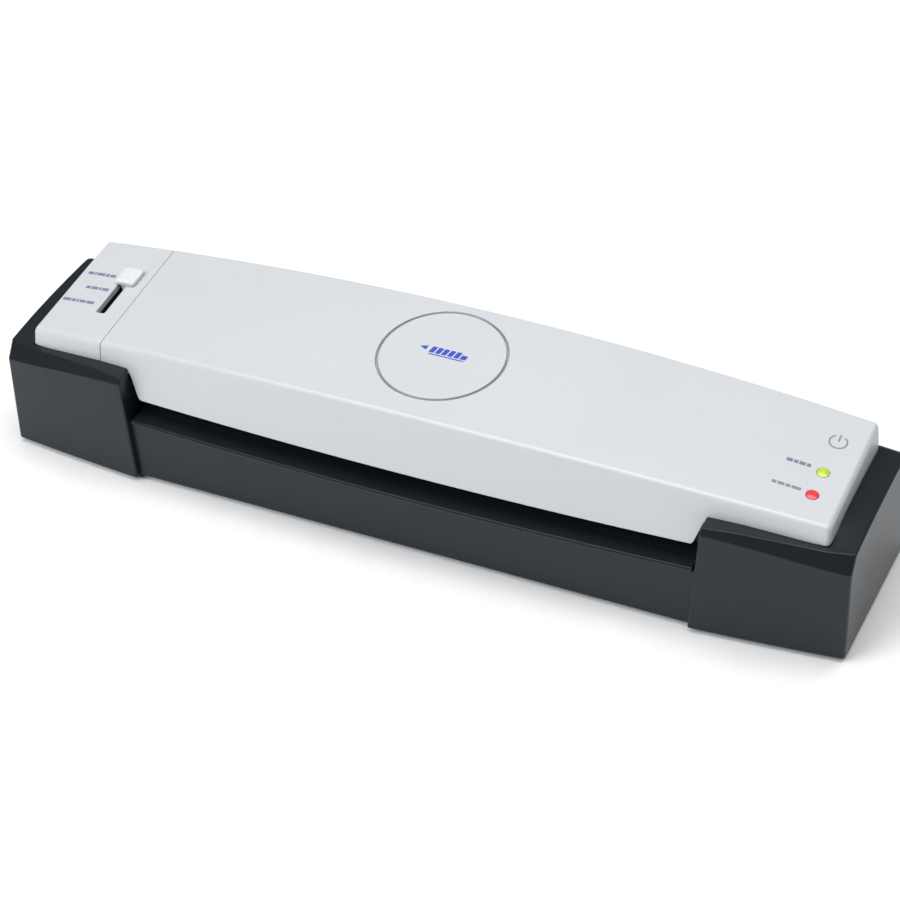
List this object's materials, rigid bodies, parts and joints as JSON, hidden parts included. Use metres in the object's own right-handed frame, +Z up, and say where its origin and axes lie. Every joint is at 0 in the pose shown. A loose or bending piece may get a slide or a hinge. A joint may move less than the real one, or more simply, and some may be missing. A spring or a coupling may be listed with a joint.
{
  "type": "pouch laminator",
  "caption": "Long low desktop pouch laminator: crowned silver cover between dark end blocks, front entry slot with a shelf, slider, two lights, heated plates and geared silicone rollers.",
  "frame": {"origin": "middle of the footprint, on the surface that the feet stand on", "axes": "+X along the machine to its right end, +Y to the rear, where the pouch comes out, +Z up"},
  "size_m": [0.355, 0.084, 0.0702],
  "materials": {
    "cover_silver": "silver painted plastic, satin",
    "case_black": "fine-textured near-black plastic with a soft sheen",
    "guide_black": "smooth black plastic",
    "knob_white": "satin pale plastic",
    "lens_green": "polished tinted lens",
    "lens_red": "polished tinted lens",
    "led_body": "clear moulded",
    "rubber": "matt",
    "silicone": "smooth silicone",
    "nylon": "natural moulded nylon",
    "steel": "zinc-plated",
    "aluminium": "mill finish extrusion",
    "mica": "mica sheet",
    "ceramic_white": "unglazed",
    "circuit_board": "solder mask over glass board"
  },
  "bodies": {
    "machine": {"bottom_case": "case_black", "top_cover": "cover_silver", "control_cover": "cover_silver", "badge_disc": "cover_silver", "feed_shelf": "case_black", "upper_feed_guide": "guide_black", "exit_shelf": "case_black", "upper_exit_guide": "guide_black", "rubber_feet": "rubber", "case_screws": "steel", "cable_gland": "rubber", "green_lens": "lens_green", "red_lens": "lens_red", "indicator_board": "circuit_board", "indicator_leds": "led_body", "slide_switch": "guide_black", "main_board": "circuit_board", "board_parts": "guide_black", "terminal_block": "nylon", "left_frame": "steel", "right_frame": "steel", "tie_bars": "steel", "upper_heater_plate": "aluminium", "lower_heater_plate": "aluminium", "upper_heating_element": "mica", "lower_heating_element": "mica", "upper_clamp_plate": "steel", "lower_clamp_plate": "steel", "thermostat": "steel", "thermal_fuse": "ceramic_white", "lower_bushes": "nylon", "pressure_springs": "steel", "drive_motor": "steel", "motor_posts": "steel"},
    "slider": {"slider_knob": "knob_white"},
    "lower_roller": {"lower_roller_shaft": "steel", "lower_roller_sleeve": "silicone", "lower_roller_gear": "nylon"},
    "upper_carriage": {"upper_bushes": "nylon"},
    "upper_roller": {"upper_roller_shaft": "steel", "upper_roller_sleeve": "silicone", "upper_roller_gear": "nylon"},
    "pinion": {"motor_shaft": "steel", "motor_pinion": "nylon"}
  },
  "joints": [
    {"name": "slider_slide", "type": "slide", "parent": "machine", "child": "slider", "axis": [0, 0.9925, 0.1219], "range_m": [-0.0175, 0]},
    {"name": "lower_roller_turn", "type": "hinge", "parent": "machine", "child": "lower_roller", "pos_m": [0, 0.016, 0.02185], "axis": [1, 0, 0], "continuous": true},
    {"name": "upper_roller_float", "type": "slide", "parent": "machine", "child": "upper_carriage", "axis": [0, 0, 1], "range_m": [0, 0.0008], "stiffness_N_per_m": 4000, "springref_m": -0.002, "deforming": ["pressure_springs"]},
    {"name": "upper_roller_turn", "type": "hinge", "parent": "upper_carriage", "child": "upper_roller", "pos_m": [0, 0.016, 0.04215], "axis": [1, 0, 0], "continuous": true},
    {"name": "pinion_turn", "type": "hinge", "parent": "machine", "child": "pinion", "pos_m": [0, 0, 0.02185], "axis": [1, 0, 0], "continuous": true}
  ],
  "couplings": [
    {"joint": "upper_roller_turn", "follows": "lower_roller_turn", "ratio": -1},
    {"joint": "pinion_turn", "follows": "lower_roller_turn", "ratio": -1.6667}
  ]
}
